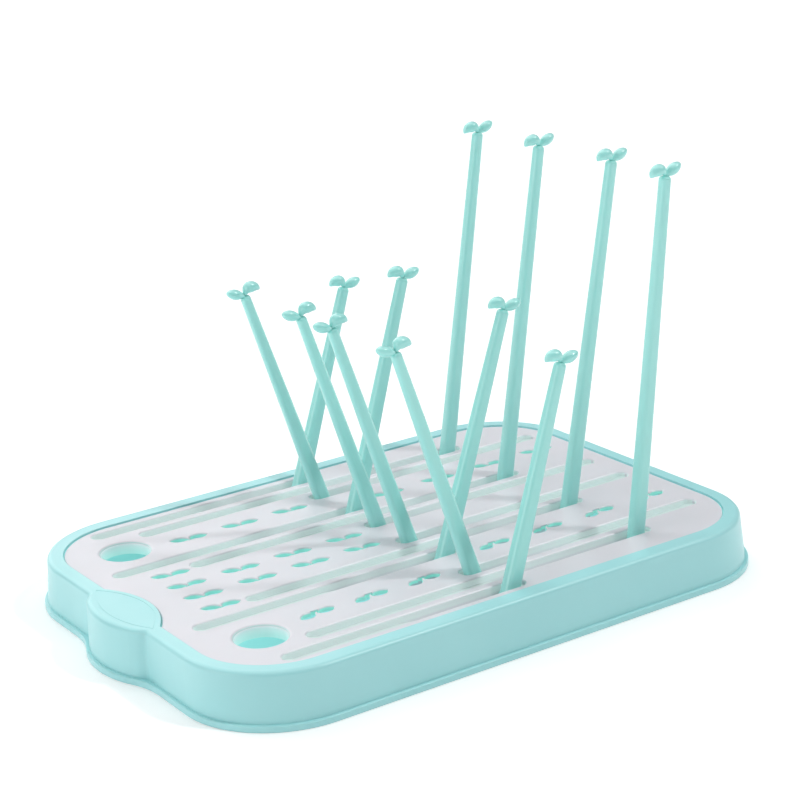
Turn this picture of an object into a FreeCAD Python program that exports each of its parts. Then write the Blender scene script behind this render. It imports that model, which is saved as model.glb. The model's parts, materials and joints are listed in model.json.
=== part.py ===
import FreeCAD, Part
import math
import os

from FreeCAD import Placement, Rotation, Vector

# Bottle drying rack: a drip tray, a lift-out grille board and twelve folding pegs with sprout tips.
#
# Millimetres. Z = 0 is the table, +Z is up, and the origin is under the middle of the bounding box.
# +X runs along the rack towards the end with the tall pegs; the front, with its thumb bulge, is at -X.
# The tray, the board and the rows of pegs are mirror images about the plane Y = 0.
#
# A line is a groove with its peg. A row is three lines side by side: from the outside in, a
# rear-leaning short peg, a tall peg and a front-leaning short peg. There are four rows.

# ---- tray -----------------------------------------------------------------------------------
LIP_LENGTH = 349.8            # the lip that the tray stands on, without the bulge
LIP_WIDTH = 258.4
LIP_CORNER = 54.0
LIP_HEIGHT = 3.3
LIP_LEDGE = 1.9               # how far the lip stands out from the foot of the wall
WALL_TOP_LENGTH = 344.0
WALL_TOP_WIDTH = 248.8
WALL_TOP_CORNER = 52.0
RIM_TOP = 29.3
RIM_OUTER_ROUND = 2.6
RIM_INNER_ROUND = 0.8
SHELL = 2.2                   # wall of the moulded tray
FLOOR_UNDERSIDE = 2.4
SHELF_HEIGHT = 18.5           # the board's skirt stands on a shelf here
SHELF_WIDTH = 3.0
# The thumb bulge in plan: its reach, the radii of its crown, its shoulders and the fillets where it joins
# the front, and how far its shoulders turn from the line of the front, in degrees.
BULGE = (10.2, 65.0, 20.0, 4.0, 45.0)
LIP_BULGE = (10.6, 62.0, 45.0, 50.0, 26.0)
PAD_LINE_INSET = 2.2          # of the fine line moulded round the pad, from the pad's edge
PAD_LINE_WIDTH = 0.9
PAD_LINE_DEPTH = 0.15

# ---- board ----------------------------------------------------------------------------------
BOARD_LENGTH = 325.8
BOARD_WIDTH = 228.0
BOARD_CORNER = 41.6
BOARD_TOP = 28.5
BOARD_GAP = 0.6               # between the board's edge and the tray's rim
BOARD_EDGE_ROUND = 0.7
HOLE_EASE = 0.6               # bevel round the top of every groove and drain hole
PLATE = 2.4
SKIRT = 2.0
NOTCH_DEPTH = 10.4            # the rim's pad behind the bulge fills a notch in the board
NOTCH_RADIUS = 52.6
FINGER_HOLE_RADIUS = 13.6
FINGER_HOLE_ROUND = 2.0
FINGER_HOLE_X = -129.3        # from the middle of the tray
FINGER_HOLE_Y = 74.1
COLLAR_WALL = 1.6
COLLAR_DEPTH = 7.0            # from the board's top

# Drain holes shaped like two leaves on a short stem.
LEAF_HOLE_LENGTH = 10.6
LEAF_HOLE_WIDTH = 6.2
LEAF_HOLE_FRONT_TILT = 20.0
LEAF_HOLE_REAR_TILT = 8.0
STEM_HOLE_WIDTH = 2.3
FRONT_COLUMN_X = -125.6
FRONT_COLUMN_STEP = 18.3
HOLE_COLUMNS_X = (-92.9, -59.9, -26.9)
CENTRE_HOLES_Y = 9.15
FRONT_LAND_HOLES_Y = 67.4
REAR_HOLES_X = (29.8, 66.2, 102.6, 139.0)
REAR_LAND_HOLES_Y = 52.2

# ---- grooves and pivots ---------------------------------------------------------------------
ROW_MIDDLES_Y = (89.9, 30.3, -30.3, -89.9)     # rows a, b, c, d: the line of each row's tall peg
LINE_PITCH = 14.6
SHORT_PIVOT_X = 0.9           # from the middle of the tray
TALL_PIVOT_X = 97.9
PIVOT_DEPTH = 6.8             # of an axle's centre under the board's top
GROOVE_WIDTH = 9.5
GROOVE_DEPTH = 4.0
GROOVE_END_DEPTH = 2.2
GROOVE_RAMP = 8.0             # over which a groove gets shallower at its far end
TROUGH_WALL = 1.6
RIB_DEPTH = 12.7              # from the board's top to the feet of the pocket walls
POCKET_TAIL = {"tall": 9.6, "rear": 10.2, "front": 9.4}       # behind the pivot
POCKET_NOSE = {"tall": 12.0, "rear": 7.0, "front": 6.6}       # ahead of it, under the folded peg
STOP_GAP = 0.15               # between a raised peg and the stop that it leans on
FOLD_GAP = 0.3                # between a folded peg and its groove

# ---- axles and keepers ----------------------------------------------------------------------
AXLE_RADIUS = 1.5
AXLE_RUNNING_GAP = 0.05
AXLE_LENGTH = 221.6
AXLE_END_PLAY = 0.5
KEEPER_THICKNESS = 2.4
KEEPER_WIDTH = 10.0
KEEPER_INNER_Y = 1.5
KEEPER_OUTER_Y = 109.0
PAD_WIDTH = 9.0               # along Y, of the keeper's pads that hold an axle up
PAD_DEPTH = 6.0
SCREW_OFFSET_X = 11.0         # of the screw bosses, in front of an axle
SCREWS_Y = (6.0, 60.0)
BOSS_RADIUS = 3.5
EAR_RADIUS = 4.0
SCREW_RADIUS = 1.1
SCREW_HOLE_GAP = 0.05
SCREW_LENGTH = 9.0
SCREW_HEAD_RADIUS = 2.8
SCREW_HEAD_HEIGHT = 1.8
SCREW_HEAD_ROUND = 0.7

# ---- pegs -----------------------------------------------------------------------------------
# Each kind of peg: length from pivot to sprout, depth and width at the foot, depth and width at the top.
PEG_KINDS = {
    "tall": (201.5, 9.1, 7.6, 6.1, 5.9),
    "rear": (141.5, 9.9, 7.5, 6.2, 5.8),
    "outer_rear": (125.2, 9.9, 7.5, 6.2, 5.8),
    "front": (141.5, 9.1, 7.1, 5.6, 5.3),
}
FOOT_CORNER = 2.7
TOP_CORNER = 2.3
TOP_ROUND = 2.0
HUB_SETBACK = 0.05            # of the round eye inside the shaft's faces
HUB_ROUND = 1.0
# How far each row's pegs lean back on their stops: each sits a little differently.
LEANS = {
    "tall": {"a": 9.9, "b": 9.9, "c": 11.0, "d": 7.4},
    "rear": {"a": 18.9, "b": 17.8, "c": 19.6, "d": 18.1},
    "front": {"a": 17.3, "b": 17.3, "c": 17.3, "d": 17.3},
}

# A sprout leaf is a chain of ellipses: (out from the peg's axis, up from its top, thickness, width).
DROOPING_LEAF = (
    (0.4, 0.6, 1.8, 2.4),
    (1.8, 2.2, 4.2, 5.0),
    (3.9, 3.2, 6.3, 6.8),
    (6.3, 2.7, 6.1, 6.5),
    (8.4, 1.3, 4.4, 4.8),
    (9.6, -0.2, 2.0, 2.2),
    (10.0, -0.8, 0.5, 0.6),
)
RISING_LEAF = (
    (0.2, 0.2, 1.8, 2.2),
    (2.2, 1.5, 4.1, 4.7),
    (4.8, 3.3, 5.8, 6.6),
    (7.1, 5.0, 5.0, 5.8),
    (8.7, 6.1, 3.0, 3.6),
    (9.4, 6.6, 0.8, 1.0),
)

# ---- derived --------------------------------------------------------------------------------
TRAY_X = LIP_BULGE[0] / 2          # moves the tray so that the whole rack is centred on the origin
FLOOR_TOP = FLOOR_UNDERSIDE + SHELL
POCKET_LENGTH = BOARD_LENGTH + 2 * BOARD_GAP
POCKET_WIDTH = BOARD_WIDTH + 2 * BOARD_GAP
POCKET_CORNER = BOARD_CORNER + BOARD_GAP
POCKET_FRONT = TRAY_X - POCKET_LENGTH / 2
NOTCH_CENTRE_X = POCKET_FRONT + NOTCH_DEPTH - NOTCH_RADIUS
PIVOT_Z = BOARD_TOP - PIVOT_DEPTH
RIB_FOOT = BOARD_TOP - RIB_DEPTH
KEEPER_UNDERSIDE = RIB_FOOT - KEEPER_THICKNESS
STATIONS = {"short": TRAY_X + SHORT_PIVOT_X, "tall": TRAY_X + TALL_PIVOT_X}
LINES = ("rear", "tall", "front")     # from the outside of a row inwards
FAR = 400.0                           # longer than anything in the rack


# ---- plane outlines -------------------------------------------------------------------------
def arc(centre_x, centre_y, radius, start, end, z):
    """Arc of a circle at height z, from angle start to angle end in degrees."""
    points = []
    for angle in (start, (start + end) / 2, end):
        turn = math.radians(angle)
        points.append(Vector(centre_x + radius * math.cos(turn), centre_y + radius * math.sin(turn), z))
    return Part.Arc(*points).toShape()


def closed_wire(arcs):
    """The arcs in order, with a straight run from the end of each to the start of the next."""
    edges = []
    for this_arc, next_arc in zip(arcs, arcs[1:] + arcs[:1]):
        edges.append(this_arc)
        end = this_arc.Vertexes[-1].Point
        start = next_arc.Vertexes[0].Point
        if end.distanceToPoint(start) > 1e-6:
            edges.append(Part.makeLine(end, start))
    return Part.Wire(edges)


def bulge(front_x, shape, inset, z):
    """A crown with two tighter shoulders that stands out of the front line, blended in by fillets."""
    reach, crown, shoulder, fillet, steepness = shape
    crown, shoulder, fillet = crown - inset, shoulder - inset, fillet + inset
    turned = math.cos(math.radians(steepness))
    meeting = (crown - shoulder * turned + fillet * (1 - turned) - reach) / (crown - shoulder)
    meet = math.degrees(math.acos(meeting))
    crown_x = front_x - reach + crown
    shoulder_x = crown_x - (crown - shoulder) * meeting
    shoulder_y = (crown - shoulder) * math.sin(math.radians(meet))
    fillet_x = front_x - fillet
    fillet_y = shoulder_y + (shoulder + fillet) * math.sin(math.radians(steepness))
    return [
        arc(fillet_x, fillet_y, fillet, 0, -steepness, z),
        arc(shoulder_x, shoulder_y, shoulder, 180 - steepness, 180 - meet, z),
        arc(crown_x, 0, crown, 180 - meet, 180 + meet, z),
        arc(shoulder_x, -shoulder_y, shoulder, 180 + meet, 180 + steepness, z),
        arc(fillet_x, -fillet_y, fillet, steepness, 0, z),
    ]


def notch(front_x, radius, z):
    """A concave arc cut into a front line, about the shared centre of the rim's pad."""
    swing = math.degrees(math.acos((front_x - NOTCH_CENTRE_X) / radius))
    return [arc(NOTCH_CENTRE_X, 0, radius, swing, -swing, z)]


def rounded_wire(length, width, corner, z, front_arcs):
    """Rounded rectangle about the tray's middle, with extra arcs along its front side."""
    x = length / 2 - corner
    y = width / 2 - corner
    arcs = [arc(TRAY_X + x, y, corner, 0, 90, z), arc(TRAY_X - x, y, corner, 90, 180, z)]
    arcs += front_arcs
    arcs += [arc(TRAY_X - x, -y, corner, 180, 270, z), arc(TRAY_X + x, -y, corner, 270, 360, z)]
    return closed_wire(arcs)


def tray_wire(length, width, corner, z, shape=BULGE, inset=0.0):
    """The tray's outer outline with its bulge, at height z, inset all round."""
    front = bulge(TRAY_X - length / 2 + inset, shape, inset, z)
    return rounded_wire(length - 2 * inset, width - 2 * inset, corner - inset, z, front)


def pocket_wire(z, inset=0.0):
    """The outline that the board sits in, with its notch, at height z, inset all round."""
    front = notch(POCKET_FRONT + inset, NOTCH_RADIUS + inset, z)
    size = (POCKET_LENGTH - 2 * inset, POCKET_WIDTH - 2 * inset, POCKET_CORNER - inset)
    return rounded_wire(*size, z, front)


def prism(wire, height):
    """Solid of that height on a plane wire."""
    return Part.Face(wire).extrude(Vector(0, 0, height))


def box(x0, x1, y0, y1, z0, z1):
    """Box between two corners."""
    return Part.makeBox(x1 - x0, y1 - y0, z1 - z0, Vector(x0, y0, z0))


def slot_wire(x0, x1, y, width, z, grow=0.0):
    """Outline of a slot along X with round ends, grown all round."""
    low, high = sorted((x0, x1))
    radius = width / 2 + grow
    return closed_wire([
        arc(high - width / 2, y, radius, -90, 90, z),
        arc(low + width / 2, y, radius, 90, 270, z),
    ])


def bevel_cutter(outline, ease):
    """Cutter that bevels the board's top round an opening, whose outline is a function of z and growth."""
    return Part.makeLoft([outline(BOARD_TOP - ease, 0.0), outline(BOARD_TOP + ease, 2 * ease)], True, True)


def profile_along_y(points, y0, y1):
    """Prism between two values of Y on a polygon given by its (x, z) corners."""
    corners = [Vector(x, y0, z) for x, z in points]
    wire = Part.makePolygon(corners + corners[:1])
    return Part.Face(wire).extrude(Vector(0, y1 - y0, 0))


def joined(solids):
    """The solids fused into one, with seams between coplanar faces removed."""
    first = solids[0]
    return first.multiFuse(solids[1:]).removeSplitter()


def edges_at_height(shape, z):
    """The edges of a shape that lie flat at height z."""
    return [e for e in shape.Edges if abs(e.BoundBox.ZMin - z) < 1e-4 and abs(e.BoundBox.ZMax - z) < 1e-4]


# ---- tray -----------------------------------------------------------------------------------
def pad_wire(inset, z):
    """Outline of the rim's pad between the bulge and the board's notch, inset all round."""
    reach, crown = BULGE[:2]
    bulge_radius = crown - RIM_OUTER_ROUND - inset
    notch_radius = NOTCH_RADIUS - inset
    bulge_x = TRAY_X - WALL_TOP_LENGTH / 2 - reach + crown
    apart = bulge_x - NOTCH_CENTRE_X
    along = (apart ** 2 + bulge_radius ** 2 - notch_radius ** 2) / (2 * apart)
    bulge_swing = math.degrees(math.acos(along / bulge_radius))
    notch_swing = math.degrees(math.acos((apart - along) / notch_radius))
    return closed_wire([
        arc(bulge_x, 0, bulge_radius, 180 - bulge_swing, 180 + bulge_swing, z),
        arc(NOTCH_CENTRE_X, 0, notch_radius, -notch_swing, notch_swing, z),
    ])


def make_tray():
    """One moulded shell: basin, shelf for the board, flat rim, drafted skirt and foot lip."""
    foot_size = (LIP_LENGTH - 2 * LIP_LEDGE, LIP_WIDTH - 2 * LIP_LEDGE, LIP_CORNER - LIP_LEDGE)
    top_size = (WALL_TOP_LENGTH, WALL_TOP_WIDTH, WALL_TOP_CORNER)
    wall = Part.makeLoft([tray_wire(*foot_size, LIP_HEIGHT), tray_wire(*top_size, RIM_TOP)], True, True)
    wall = wall.makeFillet(RIM_OUTER_ROUND, edges_at_height(wall, RIM_TOP))
    lip = prism(tray_wire(LIP_LENGTH, LIP_WIDTH, LIP_CORNER, 0, LIP_BULGE), LIP_HEIGHT)
    lip = lip.makeFillet(0.6, edges_at_height(lip, LIP_HEIGHT))
    outer = joined([wall, lip])

    hollow = Part.makeLoft([
        tray_wire(*foot_size, -1.0, inset=SHELL),
        tray_wire(*top_size, RIM_TOP - SHELL, inset=SHELL),
    ], True, True)
    pocket_block = prism(pocket_wire(SHELF_HEIGHT - SHELL, -SHELL), RIM_TOP - SHELF_HEIGHT)
    basin_block = prism(pocket_wire(FLOOR_UNDERSIDE, SHELF_WIDTH - SHELL), SHELF_HEIGHT - FLOOR_UNDERSIDE)
    pocket = prism(pocket_wire(SHELF_HEIGHT), RIM_TOP)
    basin = prism(pocket_wire(FLOOR_TOP, SHELF_WIDTH), SHELF_HEIGHT)

    line_floor = RIM_TOP - PAD_LINE_DEPTH
    pad_line = prism(pad_wire(PAD_LINE_INSET, line_floor), 1.0).cut(
        prism(pad_wire(PAD_LINE_INSET + PAD_LINE_WIDTH, line_floor), 1.0))

    tray = joined([outer.cut(hollow), pocket_block, basin_block])
    return tray.cut([pocket, basin, pad_line])


# ---- board ----------------------------------------------------------------------------------
def line_places():
    """Each line's row letter, kind of line and Y, from row a to row d."""
    places = []
    for row, middle_y in zip("abcd", ROW_MIDDLES_Y):
        outward = math.copysign(LINE_PITCH, middle_y)
        for line, step in zip(LINES, (1, 0, -1)):
            places.append((row, line, middle_y + step * outward))
    return places


def peg_kind(row, line):
    """The kind of peg on a line: the outermost rear pegs are a little shorter."""
    return "outer_rear" if line == "rear" and row in "ad" else line


def lean_of(row, line):
    """How far a raised peg leans back from the upright, in degrees."""
    return LEANS[line][row]


def fold_side(line):
    """-1 for a peg that folds towards the front of the rack, +1 for one that folds to the rear."""
    return 1 if line == "front" else -1


def pivot_x(line):
    """X of the axle that a line's peg turns on."""
    return STATIONS["tall" if line == "tall" else "short"]


def fold_slope(kind):
    """Angle at which a folded peg rises from its pivot, with its drooping leaf on the groove's floor."""
    out, up, thickness, _ = DROOPING_LEAF[-2]
    reach = out + thickness / 2
    along = PEG_KINDS[kind][0] + up
    rise = PIVOT_DEPTH - GROOVE_DEPTH + FOLD_GAP
    return math.degrees(math.atan2(reach, along) + math.asin(rise / math.hypot(reach, along)))


def floor_depth(kind, distance):
    """Depth that a folded peg needs under the board's top, at a distance from its pivot."""
    length, foot, _, top, _ = PEG_KINDS[kind]
    slope = math.radians(fold_slope(kind))
    half = (foot + (top - foot) * distance / length) / 2
    return PIVOT_DEPTH - distance * math.tan(slope) + half / math.cos(slope) + FOLD_GAP


def groove_end(kind):
    """Distance from a peg's pivot to the far end of its groove."""
    return PEG_KINDS[kind][0] + (8.4 if kind == "tall" else 10.6)


def stop_distance(row, line):
    """Distance behind the pivot of the stop that a raised peg leans on, just under the plate."""
    foot = PEG_KINDS[peg_kind(row, line)][1]
    lean = math.radians(lean_of(row, line))
    return (PIVOT_DEPTH - PLATE) * math.tan(lean) + foot / 2 / math.cos(lean) + STOP_GAP


def floor_profile(kind, nose, extra):
    """The groove's floor as (distance, depth) points from the pocket to the far end."""
    end = groove_end(kind)
    deep = floor_depth(kind, nose)
    slope = (deep - floor_depth(kind, nose + 1.0))
    level = nose + (deep - GROOVE_DEPTH) / slope
    return [
        (nose, deep + extra),
        (level, GROOVE_DEPTH + extra),
        (end - GROOVE_RAMP, GROOVE_DEPTH + extra),
        (end, GROOVE_END_DEPTH + extra),
    ]


def make_line(row, line, y):
    """The trough that is added under the plate for one line, and the groove and pocket cut from it."""
    kind = peg_kind(row, line)
    side = fold_side(line)
    x = pivot_x(line)
    nose = POCKET_NOSE[line]
    tail = POCKET_TAIL[line]
    half = GROOVE_WIDTH / 2
    end = groove_end(kind)

    # The trough: a floor under the groove, and deep walls round the pocket.
    under = floor_profile(kind, nose, TROUGH_WALL)
    points = [(-tail - TROUGH_WALL, PLATE), (-tail - TROUGH_WALL, RIB_DEPTH), (nose + TROUGH_WALL, RIB_DEPTH)]
    points += under[1:] + [(end, PLATE / 2), (-tail - TROUGH_WALL, PLATE / 2)]
    corners = [(x + side * s, BOARD_TOP - depth) for s, depth in points]
    trough = profile_along_y(corners, y - half - TROUGH_WALL, y + half + TROUGH_WALL)

    # The groove: a sloping cut inside a slot with round ends.
    floor = floor_profile(kind, nose, 0.0)
    above = [(end + 5, GROOVE_END_DEPTH), (end + 5, -1.0), (nose - 5, -1.0), (nose - 5, floor[0][1])]
    corners = [(x + side * s, BOARD_TOP - depth) for s, depth in floor + above]
    ends = (x - side * tail, x + side * end)
    slot = prism(slot_wire(*ends, y, GROOVE_WIDTH, 0), RIM_TOP + 1)
    groove = profile_along_y(corners, y - half, y + half).common(slot)
    bevel = bevel_cutter(lambda z, grow: slot_wire(*ends, y, GROOVE_WIDTH, z, grow), HOLE_EASE)

    # The pocket: through the plate to its full length, and narrower below, where its tail is the stop.
    opening = prism(slot_wire(x - side * tail, x + side * (nose + half), y, GROOVE_WIDTH, 0), BOARD_TOP + 1)
    to_nose = box(*sorted((x - side * tail, x + side * nose)), y - half, y + half, 0, BOARD_TOP + 1)
    through = opening.common(to_nose)
    stop_x = x - side * stop_distance(row, line)
    behind_stop = box(*sorted((stop_x, x - side * FAR)), y - half, y + half, 0, BOARD_TOP - PLATE)
    return trough, [groove, bevel, through.cut(behind_stop)]


def leaf_wire(z, grow):
    """Outline of a pointed leaf along X, grown all round."""
    half_length = LEAF_HOLE_LENGTH / 2
    half_width = LEAF_HOLE_WIDTH / 2
    radius = (half_length ** 2 + half_width ** 2) / (2 * half_width)
    centre = radius - half_width
    swing = math.degrees(math.acos(centre / (radius + grow)))
    return closed_wire([
        arc(0, -centre, radius + grow, 90 - swing, 90 + swing, z),
        arc(0, centre, radius + grow, 270 - swing, 270 + swing, z),
    ])


def leaf_hole(x, y, mirrored):
    """Drain hole: two pointed leaves that meet at a short stem."""
    leaves = []
    for side, tilt in ((-1, LEAF_HOLE_FRONT_TILT), (1, LEAF_HOLE_REAR_TILT)):
        for leaf in (prism(leaf_wire(0, 0.0), BOARD_TOP + 1), bevel_cutter(leaf_wire, HOLE_EASE)):
            leaf.rotate(Vector(0, 0, 0), Vector(0, 0, 1), -tilt)
            leaf.translate(Vector(side * (LEAF_HOLE_LENGTH / 2 + 0.3), 0.8 - 0.6 * side, 0))
            leaves.append(leaf)
    stem = box(-2.4, 2.4, -STEM_HOLE_WIDTH - 0.4, -0.4, 0, BOARD_TOP + 1)
    hole = joined(leaves + [stem])
    if mirrored:
        hole = hole.mirror(Vector(0, 0, 0), Vector(0, 1, 0))
    hole.translate(Vector(TRAY_X + x, y, 0))
    return hole


def drain_holes():
    """All the leaf-shaped drain holes."""
    places = [(FRONT_COLUMN_X, FRONT_COLUMN_STEP * step) for step in (-1.5, -0.5, 0.5, 1.5)]
    for x in HOLE_COLUMNS_X:
        places += [(x, y) for y in (-FRONT_LAND_HOLES_Y, -CENTRE_HOLES_Y, CENTRE_HOLES_Y, FRONT_LAND_HOLES_Y)]
    for x in REAR_HOLES_X:
        places += [(x, -REAR_LAND_HOLES_Y), (x, REAR_LAND_HOLES_Y)]
    return [leaf_hole(x, y, mirrored=y < -CENTRE_HOLES_Y - 20) for x, y in places]


def finger_hole_round(x, y):
    """Cutter that rounds the top edge of a finger hole."""
    radius = FINGER_HOLE_RADIUS + FINGER_HOLE_ROUND
    centre = Vector(x, y, BOARD_TOP - FINGER_HOLE_ROUND)
    disc = Part.makeCylinder(radius, FINGER_HOLE_ROUND + 1, centre)
    return disc.cut(Part.makeTorus(radius, FINGER_HOLE_ROUND, centre))


def screw_places(station):
    """(x, y) of the screws that hold the keepers of an axle."""
    x = STATIONS[station] - SCREW_OFFSET_X
    return [(x, side * y) for side in (1, -1) for y in SCREWS_Y]


def make_board():
    """Lift-out grille board: skirted plate, twelve troughs, finger holes, drain holes and axle seats."""
    outline = pocket_wire(SHELF_HEIGHT, BOARD_GAP)
    board = prism(outline, BOARD_TOP - SHELF_HEIGHT)
    board = board.makeFillet(BOARD_EDGE_ROUND, edges_at_height(board, BOARD_TOP))
    cavity = prism(pocket_wire(0, BOARD_GAP + SKIRT), BOARD_TOP - PLATE)
    board = board.cut(cavity)

    added, removed = [], []
    for row, line, y in line_places():
        trough, cutters = make_line(row, line, y)
        added.append(trough)
        removed += cutters
    for y in (FINGER_HOLE_Y, -FINGER_HOLE_Y):
        foot = Vector(TRAY_X + FINGER_HOLE_X, y, BOARD_TOP - COLLAR_DEPTH)
        added.append(Part.makeCylinder(FINGER_HOLE_RADIUS + COLLAR_WALL, COLLAR_DEPTH - 0.5 * PLATE, foot))
        removed.append(Part.makeCylinder(FINGER_HOLE_RADIUS, COLLAR_DEPTH + 1, foot))
        removed.append(finger_hole_round(foot.x, foot.y))
    for station, x in STATIONS.items():
        for boss_x, boss_y in screw_places(station):
            foot = Vector(boss_x, boss_y, RIB_FOOT)
            added.append(Part.makeCylinder(BOSS_RADIUS, RIB_DEPTH - 0.5 * PLATE, foot))
            hole_depth = SCREW_LENGTH - KEEPER_THICKNESS + 0.5
            removed.append(Part.makeCylinder(SCREW_RADIUS + SCREW_HOLE_GAP, hole_depth, foot))
        seat = AXLE_RADIUS + AXLE_RUNNING_GAP
        end = AXLE_LENGTH / 2 + AXLE_END_PLAY
        removed.append(Part.makeCylinder(seat, 2 * end, Vector(x, -end, PIVOT_Z), Vector(0, 1, 0)))
        removed.append(box(x - seat, x + seat, -end, end, 0, PIVOT_Z))

    board = joined([board] + added)
    return board.cut(removed + drain_holes()).removeSplitter()


# ---- axles, keepers and screws --------------------------------------------------------------
def make_axle(station):
    """Straight steel axle across the board."""
    start = Vector(STATIONS[station], -AXLE_LENGTH / 2, PIVOT_Z)
    return Part.makeCylinder(AXLE_RADIUS, AXLE_LENGTH, start, Vector(0, 1, 0))


def make_keeper(station, side):
    """Strip screwed under one half of the board, with pads that close the axle's seats."""
    x = STATIONS[station]
    lines = {"short": ("tall",), "tall": ("rear", "front")}[station]
    y0, y1 = sorted((side * KEEPER_INNER_Y, side * KEEPER_OUTER_Y))
    pieces = [box(x - KEEPER_WIDTH / 2, x + KEEPER_WIDTH / 2, y0, y1, KEEPER_UNDERSIDE, RIB_FOOT)]
    for row, line, y in line_places():
        if line in lines and y * side > 0:
            top = PIVOT_Z - AXLE_RADIUS
            span = (x - PAD_DEPTH / 2, x + PAD_DEPTH / 2, y - PAD_WIDTH / 2, y + PAD_WIDTH / 2)
            pieces.append(box(*span, KEEPER_UNDERSIDE, top))
    holes = []
    for screw_x, screw_y in screw_places(station):
        if screw_y * side > 0:
            ear = box(screw_x, x, screw_y - EAR_RADIUS, screw_y + EAR_RADIUS, KEEPER_UNDERSIDE, RIB_FOOT)
            foot = Vector(screw_x, screw_y, KEEPER_UNDERSIDE)
            pieces += [ear, Part.makeCylinder(EAR_RADIUS, KEEPER_THICKNESS, foot)]
            holes.append(Part.makeCylinder(SCREW_RADIUS + SCREW_HOLE_GAP, KEEPER_THICKNESS, foot))
    return joined(pieces).cut(holes)


def make_screws():
    """The eight identical self-tapping screws, each a solid of its own."""
    screws = []
    for station in STATIONS:
        for x, y in screw_places(station):
            shank = Part.makeCylinder(SCREW_RADIUS, SCREW_LENGTH, Vector(x, y, KEEPER_UNDERSIDE))
            foot = Vector(x, y, KEEPER_UNDERSIDE - SCREW_HEAD_HEIGHT)
            head = Part.makeCylinder(SCREW_HEAD_RADIUS, SCREW_HEAD_HEIGHT, foot)
            head = head.makeFillet(SCREW_HEAD_ROUND, edges_at_height(head, foot.z))
            screws.append(joined([shank, head]))
    return Part.makeCompound(screws)


# ---- pegs -----------------------------------------------------------------------------------
def peg_section(depth, width, corner, z):
    """Rounded rectangle at height z, depth along X and width along Y."""
    x = depth / 2 - corner
    y = width / 2 - corner
    return closed_wire([
        arc(x, y, corner, 0, 90, z),
        arc(-x, y, corner, 90, 180, z),
        arc(-x, -y, corner, 180, 270, z),
        arc(x, -y, corner, 270, 360, z),
    ])


def make_leaf(stations, side, top):
    """One sprout leaf: a smooth skin over its chain of ellipses, on one side of the peg's top."""
    wires = []
    for index, (out, up, thickness, width) in enumerate(stations):
        before = stations[max(index - 1, 0)]
        after = stations[min(index + 1, len(stations) - 1)]
        along = Vector(side * (after[0] - before[0]), 0, after[1] - before[1])
        ellipse = Part.Ellipse(Vector(0, 0, 0), width / 2, thickness / 2).toShape()
        ellipse.Placement = Placement(
            Vector(side * out, 0, top + up),
            Rotation(Vector(0, side, 0), along.cross(Vector(0, side, 0)), along, "ZXY"),
        )
        wires.append(Part.Wire(ellipse))
    return Part.makeLoft(wires, True, False)


def make_peg(row, line, y):
    """A peg in one piece: eyed foot, tapered shaft, rounded top and a sprout of two leaves."""
    length, foot_depth, foot_width, top_depth, top_width = PEG_KINDS[peg_kind(row, line)]
    shaft = Part.makeLoft([
        peg_section(foot_depth, foot_width, FOOT_CORNER, 0),
        peg_section(top_depth, top_width, TOP_CORNER, length),
    ], True, True)
    shaft = shaft.makeFillet(TOP_ROUND, edges_at_height(shaft, length))
    hub_radius = foot_depth / 2 - HUB_SETBACK
    hub = Part.makeCylinder(hub_radius, foot_width, Vector(0, -foot_width / 2, 0), Vector(0, 1, 0))
    rims = [e for e in hub.Edges if e.BoundBox.YLength < 0.01]
    hub = hub.makeFillet(HUB_ROUND, rims)
    leaves = [make_leaf(DROOPING_LEAF, -1, length), make_leaf(RISING_LEAF, 1, length)]
    eye_radius = AXLE_RADIUS + AXLE_RUNNING_GAP
    eye = Part.makeCylinder(eye_radius, 2 * foot_width, Vector(0, -foot_width, 0), Vector(0, 1, 0))
    peg = joined([shaft, hub] + leaves).cut(eye)
    peg.rotate(Vector(0, 0, 0), Vector(0, 1, 0), lean_of(row, line))
    if line == "front":
        peg.rotate(Vector(0, 0, 0), Vector(0, 0, 1), 180)
    peg.translate(Vector(pivot_x(line), y, PIVOT_Z))
    return peg


# ---- the rack -------------------------------------------------------------------------------
def make_rack():
    """Every node's shape by name."""
    nodes = {"drip_tray": make_tray(), "grille_board": make_board(), "keeper_screws": make_screws()}
    for station in STATIONS:
        nodes[station + "_peg_axle"] = make_axle(station)
        nodes[station + "_axle_keeper_left"] = make_keeper(station, 1)
        nodes[station + "_axle_keeper_right"] = make_keeper(station, -1)
    for row, line, y in line_places():
        nodes["peg_" + row + "_" + line] = make_peg(row, line, y)
    return nodes


os.makedirs("parts", exist_ok=True)
for name, shape in make_rack().items():
    shape.exportStep("parts/" + name + ".step")
    print(name, "solids", len(shape.Solids), "volume_mm3", round(shape.Volume), "valid", shape.isValid())
for line in LINES:
    for row in "ab":
        kind = peg_kind(row, line)
        print(row, line, kind, "fold_deg", round(90 + lean_of(row, line) - fold_slope(kind), 2))
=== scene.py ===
"""The looks of the bottle drying rack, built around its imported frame.

Every shape here is in metres in the frame's own axes: +X runs along the rack to the tall pegs, +Y goes
across it and +Z is up. The rack stands on Z = 0.
"""
import json
import math

import bpy
from mathutils import Matrix, Vector


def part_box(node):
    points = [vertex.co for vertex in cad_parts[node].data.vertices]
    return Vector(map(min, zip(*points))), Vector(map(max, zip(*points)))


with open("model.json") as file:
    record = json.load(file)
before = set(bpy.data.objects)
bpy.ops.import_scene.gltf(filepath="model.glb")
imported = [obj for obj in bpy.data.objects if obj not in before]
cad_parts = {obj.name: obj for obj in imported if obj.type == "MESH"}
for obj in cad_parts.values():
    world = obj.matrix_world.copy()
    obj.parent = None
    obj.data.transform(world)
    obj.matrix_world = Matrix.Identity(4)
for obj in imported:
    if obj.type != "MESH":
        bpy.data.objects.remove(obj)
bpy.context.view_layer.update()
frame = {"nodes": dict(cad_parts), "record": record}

MM = 0.001

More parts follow.
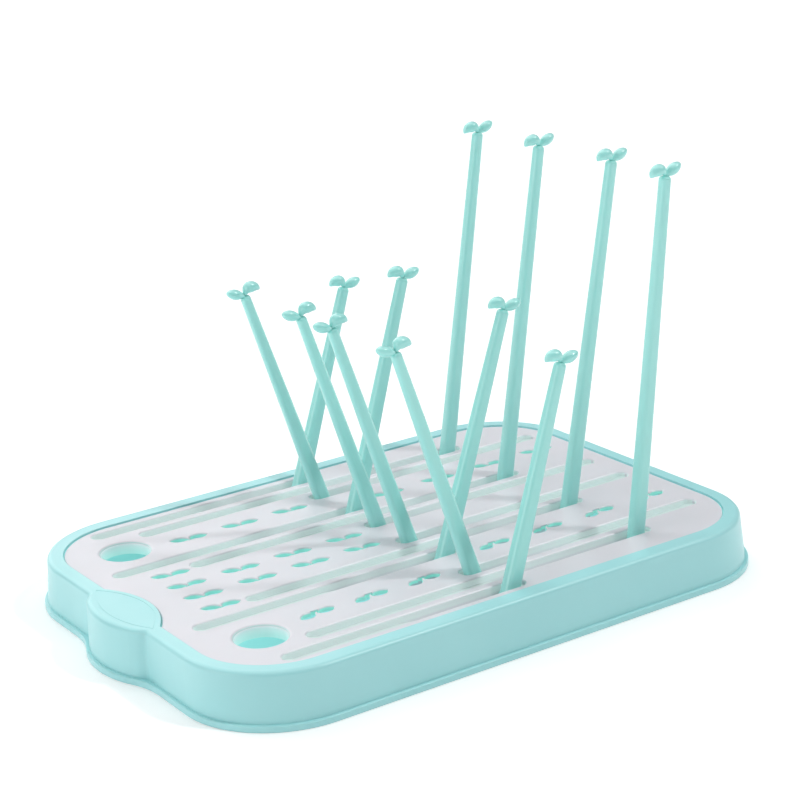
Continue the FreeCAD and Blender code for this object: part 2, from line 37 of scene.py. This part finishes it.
# ---- colours, as linear light ---------------------------------------------------------------
TRAY_MINT = (0.42, 0.79, 0.81)
TRAY_MINT_DEEP = (0.39, 0.76, 0.78)
PEG_MINT = (0.39, 0.80, 0.765)
PEG_MINT_DEEP = (0.355, 0.765, 0.73)
BOARD_WHITE = (0.73, 0.72, 0.77)
BOARD_WHITE_DEEP = (0.705, 0.70, 0.745)
STEEL = (0.56, 0.57, 0.58)
STEEL_DEEP = (0.448, 0.456, 0.464)
FLOOR_WHITE = (0.97, 0.97, 0.97)
FLOOR_GREY = (0.95, 0.95, 0.95)
WHITE = (1.0, 1.0, 1.0)
DARK = (0.0, 0.0, 0.0)

# Painted mint shade: the board's colour in its recesses, for the shade there and the mint light of the
# tray that comes through the thin board.
GROOVE_PAINTED_SHADE = (0.67, 0.79, 0.775)
FINGER_HOLE_PAINTED_SHADE = (0.50, 0.82, 0.78)
EDGE_PAINTED_SHADE = (0.50, 0.80, 0.78)
HOLE_PAINTED_SHADE = (0.45, 0.82, 0.76)

# Painted light: a faint glow that a surface gives off, standing in for the light that comes through thin
# plastic.
PEG_GLOW = (0.01, 0.04, 0.035)
GROOVE_GLOW = (0.15, 0.15, 0.15)
FINGER_HOLE_GLOW = (0.20, 0.23, 0.225)
EDGE_GLOW = (0.16, 0.28, 0.27)
HOLE_GLOW = (0.06, 0.16, 0.13)
UNDERSIDE_GLOW = (0.40, 0.46, 0.45)
BASIN_FLOOR_GLOW = (0.06, 0.17, 0.14)
BASIN_WALL_GLOW = (0.12, 0.25, 0.23)
FLOOR_GLOW = (0.16, 0.16, 0.16)        # this one only keeps the paper evenly near white, also in the shadow of the rack

# ---- finish of the plastics -----------------------------------------------------------------
MINT_ROUGHNESS = 0.285
BOARD_ROUGHNESS = 0.33
UNEVENNESS = 0.05                      # of the roughness from place to place
RUBBED = 0.07                          # more roughness in the rubbed lines
PLASTIC_IOR = 1.49
TRAY_BLEED = 0.15                      # share of the light that bleeds sideways through the plastic
PEG_BLEED = 0.20
BOARD_BLEED = 0.25
BLEED_DEPTH = 4 * MM
BLEED_BY_COLOUR = (0.7, 1.0, 0.95)     # how far red, green and blue get, as shares of that depth
PEG_COAT = 0.7                         # weight of the clear gloss over the pegs
PEG_COAT_ROUGHNESS = 0.13
# Noise is drawn out into lines along the axes with a small factor.
LINES_ALONG_X = (0.06, 1.0, 1.0)
LINES_ALONG_Z = (1.0, 1.0, 0.06)
LEVEL_LINES = (0.06, 0.06, 1.0)
# Noise runs from 0 to 1; these are the stretches of it that the looks use.
MOST_NOISE = (0.3, 0.7)
RUBBED_LINES = (0.58, 0.70)
RUBBED_PATCHES = (0.50, 0.66)

# ---- the board's recesses, in metres --------------------------------------------------------
GROOVE_HALF_WIDTH = 5.1 * MM
POCKET_TAIL = 10 * MM                  # how far a groove reaches behind the pivot of its peg,
GROOVE_REACH = {"tall": 210 * MM, "front": 152 * MM, "rear": 152 * MM}     # and ahead of it
GROOVE_DEPTHS = (3.5 * MM, 6.0 * MM)   # between which a groove turns into the dark pocket of its peg
HOLES_AREA = (150 * MM, 91 * MM)       # half length and half width that hold every hole
FINGER_HOLE = (-129.3 * MM, 74.1 * MM)     # from the board's middle
FINGER_HOLE_RADIUS = 14.0 * MM
PLATE = 2.35 * MM
SUNK_DEPTHS = (0.2 * MM, 1.0 * MM)     # between which the painted mint shade of a recess grows to its full strength,
FINGER_HOLE_DEPTHS = (0.2 * MM, 6.0 * MM)  # and the same for the deep collar of a finger hole
BOARD_CORNER = 41.6 * MM
BOARD_EDGE = 1.9 * MM                  # how far in from its outline the board's edge reaches
EDGE_DEPTH = 1.6 * MM                  # how far down the painted mint shade of the gap reaches on it
BASIN_GAP = 0.8 * MM                   # how far outside that outline the inside of the tray reaches
BASIN_TOP = 27.5 * MM
FAR_AWAY = 1.0                         # further than any point of the board is from a groove
FACING_UP = 0.5                        # least Z of the normal of a surface that faces up

# ---- light ----------------------------------------------------------------------------------
HORIZON_STRENGTH = 0.2                 # of the sky at the horizon; it fades to black further up
HORIZON_TOP = 0.7                      # sine of the elevation where it ends
HORIZON_FALL = 2.0                     # power of that fade
# Each soft sun: where it shines from, strength in watts per square metre and angular size in degrees.
SUNS = {
    "left_sun": ((-1.0, 0.0, 0.21), 1.25, 50.0),
    "right_sun": ((1.0, 0.0, 1.0), 0.40, 50.0),
    "back_sun": ((0.0, 1.21, 0.855), 1.48, 60.0),
    "top_sun": ((0.0, 0.0, 1.0), 1.10, 50.0),
    "shadow_sun": ((0.65, -0.56, 1.0), 0.95, 5.0),     # the one that throws the faint shadows of the pegs
}

# ---- camera and floor -----------------------------------------------------------------------
CAMERA_AZIMUTH = -32.84
CAMERA_ELEVATION = 17.95
CAMERA_ROLL = -3.36
CAMERA_TARGET = Vector((138.1, 192.3, 28.5)) * MM
CAMERA_DISTANCE = 1409.5 * MM
CAMERA_LENS = 96.2                     # millimetres, on Blender's own sensor
CAMERA_RANGE = 50.0
FLOOR_HALF = 12.0
FLOOR_DROP = 0.2 * MM                  # below the rack, so that the two don't share a plane


class Nodes:
    """Short ways to add and link the nodes of a material or of the world."""

    def __init__(self, owner, shader):
        owner.use_nodes = True
        self.owner = owner
        self.tree = owner.node_tree
        self.shader = self.tree.nodes[shader]
        self.places = self.add("ShaderNodeTexCoord").outputs

    def add(self, kind, **settings):
        """A new node with its properties set."""
        node = self.tree.nodes.new(kind)
        for key, value in settings.items():
            setattr(node, key, value)
        return node

    def link(self, value, socket):
        """Sets a socket to a number, a colour or another node's output."""
        if isinstance(value, bpy.types.NodeSocket):
            self.tree.links.new(value, socket)
        elif isinstance(value, tuple) and socket.type == "RGBA":
            socket.default_value = (*value, 1.0)
        else:
            socket.default_value = value

    def shade(self, **inputs):
        """Sets inputs of the shader, each named with underscores for its spaces."""
        for name, value in inputs.items():
            self.link(value, self.shader.inputs[name.replace("_", " ")])

    def split(self, vector):
        """The X, Y and Z of a vector."""
        parts = self.add("ShaderNodeSeparateXYZ")
        self.link(vector, parts.inputs[0])
        return parts.outputs

    def noise(self, scale, detail=2.0, roughness=0.5, stretch=(1, 1, 1)):
        """Noise through the object, with a scale in cycles per metre, as a number from 0 to 1."""
        mapping = self.add("ShaderNodeMapping")
        self.link(self.places["Object"], mapping.inputs["Vector"])
        mapping.inputs["Scale"].default_value = stretch
        noise = self.add("ShaderNodeTexNoise")
        self.link(mapping.outputs["Vector"], noise.inputs["Vector"])
        self.link(scale, noise.inputs["Scale"])
        self.link(detail, noise.inputs["Detail"])
        self.link(roughness, noise.inputs["Roughness"])
        return noise.outputs["Fac"]

    def remap(self, value, low, high, to_low, to_high):
        """A number moved from one range to another, and kept inside it."""
        node = self.add("ShaderNodeMapRange", clamp=True)
        for number, socket in zip((value, low, high, to_low, to_high), node.inputs):
            self.link(number, socket)
        return node.outputs["Result"]

    def mix(self, factor, a, b):
        """Two colours mixed."""
        node = self.add("ShaderNodeMix", data_type="RGBA")
        self.link(factor, node.inputs["Factor"])
        self.link(a, node.inputs[6])
        self.link(b, node.inputs[7])
        return node.outputs[2]

    def math(self, operation, *values):
        """One sum."""
        node = self.add("ShaderNodeMath", operation=operation)
        for value, socket in zip(values, node.inputs):
            self.link(value, socket)
        return node.outputs[0]

    def both(self, a, b):
        """1 where two masks both are."""
        return self.math("MULTIPLY", a, b)

    def without(self, a, b):
        """A mask, except where another one is 1."""
        return self.math("MULTIPLY", a, self.math("SUBTRACT", 1.0, b))

    def plan_and_height(self):
        """X, |Y| and height above the table of the shaded point, in metres."""
        place = self.split(self.places["Object"])
        return place["X"], self.math("ABSOLUTE", place["Y"]), place["Z"]

    def facing(self, sign):
        """1 where the surface faces up, or down for a sign of -1."""
        normal = self.split(self.add("ShaderNodeNewGeometry").outputs["Normal"])
        return self.math("GREATER_THAN", self.math("MULTIPLY", normal["Z"], sign), FACING_UP)

    def off(self, value, middle):
        """How far a number is from another, either way."""
        return self.math("ABSOLUTE", self.math("SUBTRACT", value, middle))

    def away(self, x, y, middle_x, middle_y):
        """How far a point is from another in plan."""
        square_x = self.math("POWER", self.math("SUBTRACT", x, middle_x), 2.0)
        square_y = self.math("POWER", self.math("SUBTRACT", y, middle_y), 2.0)
        return self.math("SQRT", self.math("ADD", square_x, square_y))

    def outside_box(self, x, y, middle_x, middle_y, half_x, half_y):
        """How far a point is outside a rectangle, and less than 0 inside it."""
        out_x = self.math("SUBTRACT", self.off(x, middle_x), half_x)
        out_y = self.math("SUBTRACT", self.off(y, middle_y), half_y)
        return self.math("MAXIMUM", out_x, out_y)

    def outside_round_box(self, x, y, middle_x, middle_y, half_x, half_y, corner):
        """How far a point is outside a rectangle with round corners, and less than 0 inside it."""
        out_x = self.math("SUBTRACT", self.off(x, middle_x), half_x - corner)
        out_y = self.math("SUBTRACT", self.off(y, middle_y), half_y - corner)
        to_corner = self.away(self.math("MAXIMUM", out_x, 0.0), self.math("MAXIMUM", out_y, 0.0), 0.0, 0.0)
        inside = self.math("MINIMUM", self.math("MAXIMUM", out_x, out_y), 0.0)
        return self.math("SUBTRACT", self.math("ADD", to_corner, inside), corner)

    def glow(self, colour):
        """Makes the surface give off a little light of that colour."""
        self.shade(Emission_Color=colour, Emission_Strength=1.0)
        self.owner.cycles.emission_sampling = "NONE"

    def bumps(self, *layers):
        """Relief from (height, strength, distance) layers, on top of each other."""
        normal = None
        for height, strength, distance in layers:
            bump = self.add("ShaderNodeBump")
            self.link(height, bump.inputs["Height"])
            self.link(strength, bump.inputs["Strength"])
            self.link(distance, bump.inputs["Distance"])
            if normal is not None:
                self.link(normal, bump.inputs["Normal"])
            normal = bump.outputs["Normal"]
        self.shade(Normal=normal)


# ---- materials ------------------------------------------------------------------------------
def new_material(name):
    """The nodes of a new material with a plain surface shader."""
    return Nodes(bpy.data.materials.new(name), "Principled BSDF")


def hairlines(nodes, stretch):
    """Sparse patches of fine rubbed lines from use, as a number that is mostly 0."""
    fine_noise = nodes.noise(scale=900.0, detail=3.0, roughness=0.6, stretch=stretch)
    lines = nodes.remap(fine_noise, *RUBBED_LINES, 0.0, 1.0)
    patches = nodes.remap(nodes.noise(scale=20.0), *RUBBED_PATCHES, 0.0, 1.0)
    return nodes.both(patches, lines)


def moulded_plastic(name, colour, deep_colour, roughness, bleed, stretch):
    """Satin moulded polypropylene, and its colour with a faint swirl, into which the caller may mix
    painted shade.

    It has orange peel, fine grain and lines rubbed by use, and light bleeds sideways through it.
    """
    nodes = new_material(name)
    broad_noise = nodes.noise(scale=16.0, detail=3.0, roughness=0.55, stretch=(1.0, 1.6, 0.8))
    swirl = nodes.remap(broad_noise, *MOST_NOISE, 0.0, 1.0)
    blotches = nodes.noise(scale=70.0, detail=3.0)
    uneven = nodes.remap(blotches, *MOST_NOISE, roughness, roughness + UNEVENNESS)
    nodes.shade(
        Roughness=nodes.math("MULTIPLY_ADD", hairlines(nodes, stretch), RUBBED, uneven),
        IOR=PLASTIC_IOR,
        Subsurface_Weight=bleed,
        Subsurface_Scale=BLEED_DEPTH,
        Subsurface_Radius=BLEED_BY_COLOUR,
    )
    orange_peel = (nodes.noise(scale=130.0), 0.08, 0.3 * MM)
    grain = (nodes.noise(scale=1500.0), 0.06, 0.1 * MM)
    nodes.bumps(orange_peel, grain)
    return nodes, nodes.mix(swirl, colour, deep_colour)


def board_outline():
    """Middle, half length, half width and corner of the board in plan."""
    low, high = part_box("grille_board")
    return (low.x + high.x) / 2, 0.0, (high.x - low.x) / 2, high.y, BOARD_CORNER


def tray_plastic():
    """Mint tray, with a painted glow inside its basin for the light that comes through its wall and the
    board.
    """
    nodes, mint = moulded_plastic(
        "tray_plastic", TRAY_MINT, TRAY_MINT_DEEP, MINT_ROUGHNESS, TRAY_BLEED, LEVEL_LINES)
    x, y, height = nodes.plan_and_height()
    in_basin = nodes.math("LESS_THAN", nodes.outside_round_box(x, y, *board_outline()), BASIN_GAP)
    in_basin = nodes.both(in_basin, nodes.math("LESS_THAN", height, BASIN_TOP))
    in_basin = nodes.without(in_basin, nodes.facing(-1.0))
    inner_glow = nodes.mix(nodes.facing(1.0), BASIN_WALL_GLOW, BASIN_FLOOR_GLOW)
    nodes.shade(Base_Color=mint)
    nodes.glow(nodes.mix(in_basin, DARK, inner_glow))
    return nodes.owner


def peg_plastic():
    """Mint pegs, a little deeper in colour and glossier than the tray."""
    nodes, mint = moulded_plastic(
        "peg_plastic", PEG_MINT, PEG_MINT_DEEP, MINT_ROUGHNESS, PEG_BLEED, LINES_ALONG_Z)
    nodes.shade(Base_Color=mint, Coat_Weight=PEG_COAT, Coat_Roughness=PEG_COAT_ROUGHNESS)
    # Painted glow, for the light that comes through the thin pegs.
    nodes.glow(PEG_GLOW)
    return nodes.owner


def outside_grooves(nodes, x, y):
    """How far a point is outside the nearest groove, from the pivots of the pegs on the left half."""
    nearest = FAR_AWAY
    for joint in frame["record"]["behaviour"]["joints"]:
        if joint["type"] != "hinge" or joint["pos_m"][1] < 0:
            continue
        pivot_x, pivot_y, _ = joint["pos_m"]
        fold_side = joint["axis"][1]
        line = joint["child"].split("_")[-1]
        far_x = pivot_x + math.copysign(GROOVE_REACH[line], fold_side)
        near_x = pivot_x - math.copysign(POCKET_TAIL, fold_side)
        groove = ((far_x + near_x) / 2, pivot_y, abs(far_x - near_x) / 2, GROOVE_HALF_WIDTH)
        nearest = nodes.math("MINIMUM", nearest, nodes.outside_box(x, y, *groove))
    return nearest


def board_plastic():
    """White board, thin enough for light and for the mint of the tray to come through it, shown as painted
    mint shade and a painted glow in its recesses and underneath.
    """
    nodes, white = moulded_plastic(
        "board_plastic", BOARD_WHITE, BOARD_WHITE_DEEP, BOARD_ROUGHNESS, BOARD_BLEED, LINES_ALONG_X)
    outline = board_outline()
    middle_x = outline[0]
    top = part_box("grille_board")[1].z
    x, y, height = nodes.plan_and_height()

    depth = nodes.math("SUBTRACT", top, height)
    sunk = nodes.remap(depth, *SUNK_DEPTHS, 0.0, 1.0)
    deep_in_finger_hole = nodes.remap(depth, *FINGER_HOLE_DEPTHS, 0.0, 1.0)
    above_pocket = nodes.remap(depth, *GROOVE_DEPTHS, 1.0, 0.0)
    in_plate = nodes.math("LESS_THAN", depth, PLATE)

    in_groove = nodes.math("LESS_THAN", outside_grooves(nodes, x, y), 0.0)
    off_finger_hole = nodes.away(x, y, middle_x + FINGER_HOLE[0], FINGER_HOLE[1])
    in_finger_hole = nodes.math("LESS_THAN", off_finger_hole, FINGER_HOLE_RADIUS)
    near_holes = nodes.math("LESS_THAN", nodes.outside_box(x, y, middle_x, 0.0, *HOLES_AREA), 0.0)
    elsewhere = nodes.without(nodes.without(near_holes, in_groove), in_finger_hole)
    in_drain_hole = nodes.both(elsewhere, in_plate)
    under = nodes.both(nodes.without(elsewhere, in_plate), nodes.facing(-1.0))
    on_edge = nodes.math("GREATER_THAN", nodes.outside_round_box(x, y, *outline), -BOARD_EDGE)
    on_edge = nodes.both(on_edge, nodes.math("LESS_THAN", depth, EDGE_DEPTH))

    colour = white
    glow = nodes.mix(under, DARK, UNDERSIDE_GLOW)
    # Each recess gets painted mint shade that grows with its depth, and a painted glow on its faces that
    # don't face up.
    for inside, how_deep, its_painted_shade, its_glow in (
        (nodes.both(in_groove, above_pocket), sunk, GROOVE_PAINTED_SHADE, GROOVE_GLOW),
        (in_finger_hole, deep_in_finger_hole, FINGER_HOLE_PAINTED_SHADE, FINGER_HOLE_GLOW),
        (on_edge, sunk, EDGE_PAINTED_SHADE, EDGE_GLOW),
        (in_drain_hole, sunk, HOLE_PAINTED_SHADE, HOLE_GLOW),
    ):
        colour = nodes.mix(nodes.both(inside, how_deep), colour, its_painted_shade)
        lit = nodes.without(nodes.both(inside, sunk), nodes.facing(1.0))
        glow = nodes.mix(lit, glow, its_glow)
    nodes.shade(Base_Color=colour)
    nodes.glow(glow)
    return nodes.owner


def drawn_steel():
    """Drawn stainless wire, with fine streaks along its length."""
    nodes = new_material("steel")
    streaks = nodes.noise(scale=400.0, detail=4.0, roughness=0.7, stretch=(6.0, 0.15, 6.0))
    nodes.shade(
        Base_Color=nodes.mix(streaks, STEEL, STEEL_DEEP),
        Metallic=1.0,
        Roughness=nodes.remap(streaks, *MOST_NOISE, 0.30, 0.45),
    )
    nodes.bumps((streaks, 0.25, 0.05 * MM))
    return nodes.owner


def studio_floor():
    """Matt pale paper."""
    nodes = new_material("studio_floor")
    fibres = nodes.noise(scale=300.0, detail=3.0)
    nodes.shade(
        Base_Color=nodes.mix(fibres, FLOOR_WHITE, FLOOR_GREY),
        Roughness=0.9,
        Specular_IOR_Level=0.0,
    )
    nodes.glow(FLOOR_GLOW)
    return nodes.owner


def dress_nodes():
    """Gives every node the material of its slot."""
    made = {
        "tray_plastic": tray_plastic(),
        "peg_plastic": peg_plastic(),
        "board_plastic": board_plastic(),
        "steel": drawn_steel(),
    }
    for part in frame["record"]["subparts"]:
        node = frame["nodes"][part["node"]]
        for slot in node.material_slots:
            slot.material = made[part["material_slot"]]


# ---- stage ----------------------------------------------------------------------------------
def make_camera():
    """Camera on the line from the target at the given azimuth and elevation, rolled about that line."""
    azimuth, elevation, roll = (math.radians(v) for v in (CAMERA_AZIMUTH, CAMERA_ELEVATION, CAMERA_ROLL))
    outward = Vector((math.sin(azimuth), -math.cos(azimuth), 0)) * math.cos(elevation)
    back = outward + Vector((0, 0, math.sin(elevation)))
    level = Vector((math.cos(azimuth), math.sin(azimuth), 0))
    upright = back.cross(level)
    right = math.cos(roll) * level + math.sin(roll) * upright
    up = math.cos(roll) * upright - math.sin(roll) * level
    data = bpy.data.cameras.new("camera")
    data.lens = CAMERA_LENS
    data.clip_end = CAMERA_RANGE
    camera = bpy.data.objects.new("camera", data)
    place = Matrix.Translation(CAMERA_TARGET + CAMERA_DISTANCE * back)
    camera.matrix_world = place @ Matrix((right, up, back)).transposed().to_4x4()
    bpy.context.scene.collection.objects.link(camera)
    bpy.context.scene.camera = camera


def make_sky():
    """A bright horizon, so that the floor is as bright far away as it is near the rack."""
    world = bpy.data.worlds.new("studio")
    nodes = Nodes(world, "Background")
    height = nodes.split(nodes.places["Generated"])["Z"]
    fade = nodes.remap(height, 0.0, HORIZON_TOP, 1.0, 0.0)
    strength = nodes.math("MULTIPLY", nodes.math("POWER", fade, HORIZON_FALL), HORIZON_STRENGTH)
    nodes.shade(Color=WHITE, Strength=strength)
    bpy.context.scene.world = world


def make_suns():
    """Soft suns from all sides, and a sharper one for the shadows of the pegs."""
    for name, (source, strength, width) in SUNS.items():
        data = bpy.data.lights.new(name, "SUN")
        data.energy = strength
        data.angle = math.radians(width)
        sun = bpy.data.objects.new(name, data)
        sun.rotation_euler = (-Vector(source)).to_track_quat("-Z", "Y").to_euler()
        bpy.context.scene.collection.objects.link(sun)


def make_floor():
    """A wide pale floor just under the rack."""
    corners = [(x * FLOOR_HALF, y * FLOOR_HALF, 0) for x, y in ((-1, -1), (1, -1), (1, 1), (-1, 1))]
    mesh = bpy.data.meshes.new("floor")
    mesh.from_pydata(corners, [], [(0, 1, 2, 3)])
    floor = bpy.data.objects.new("floor", mesh)
    floor.location.z = -FLOOR_DROP
    floor.data.materials.append(studio_floor())
    bpy.context.scene.collection.objects.link(floor)


bpy.context.scene.view_settings.view_transform = "Standard"
make_camera()
make_sky()
make_suns()
make_floor()
dress_nodes()
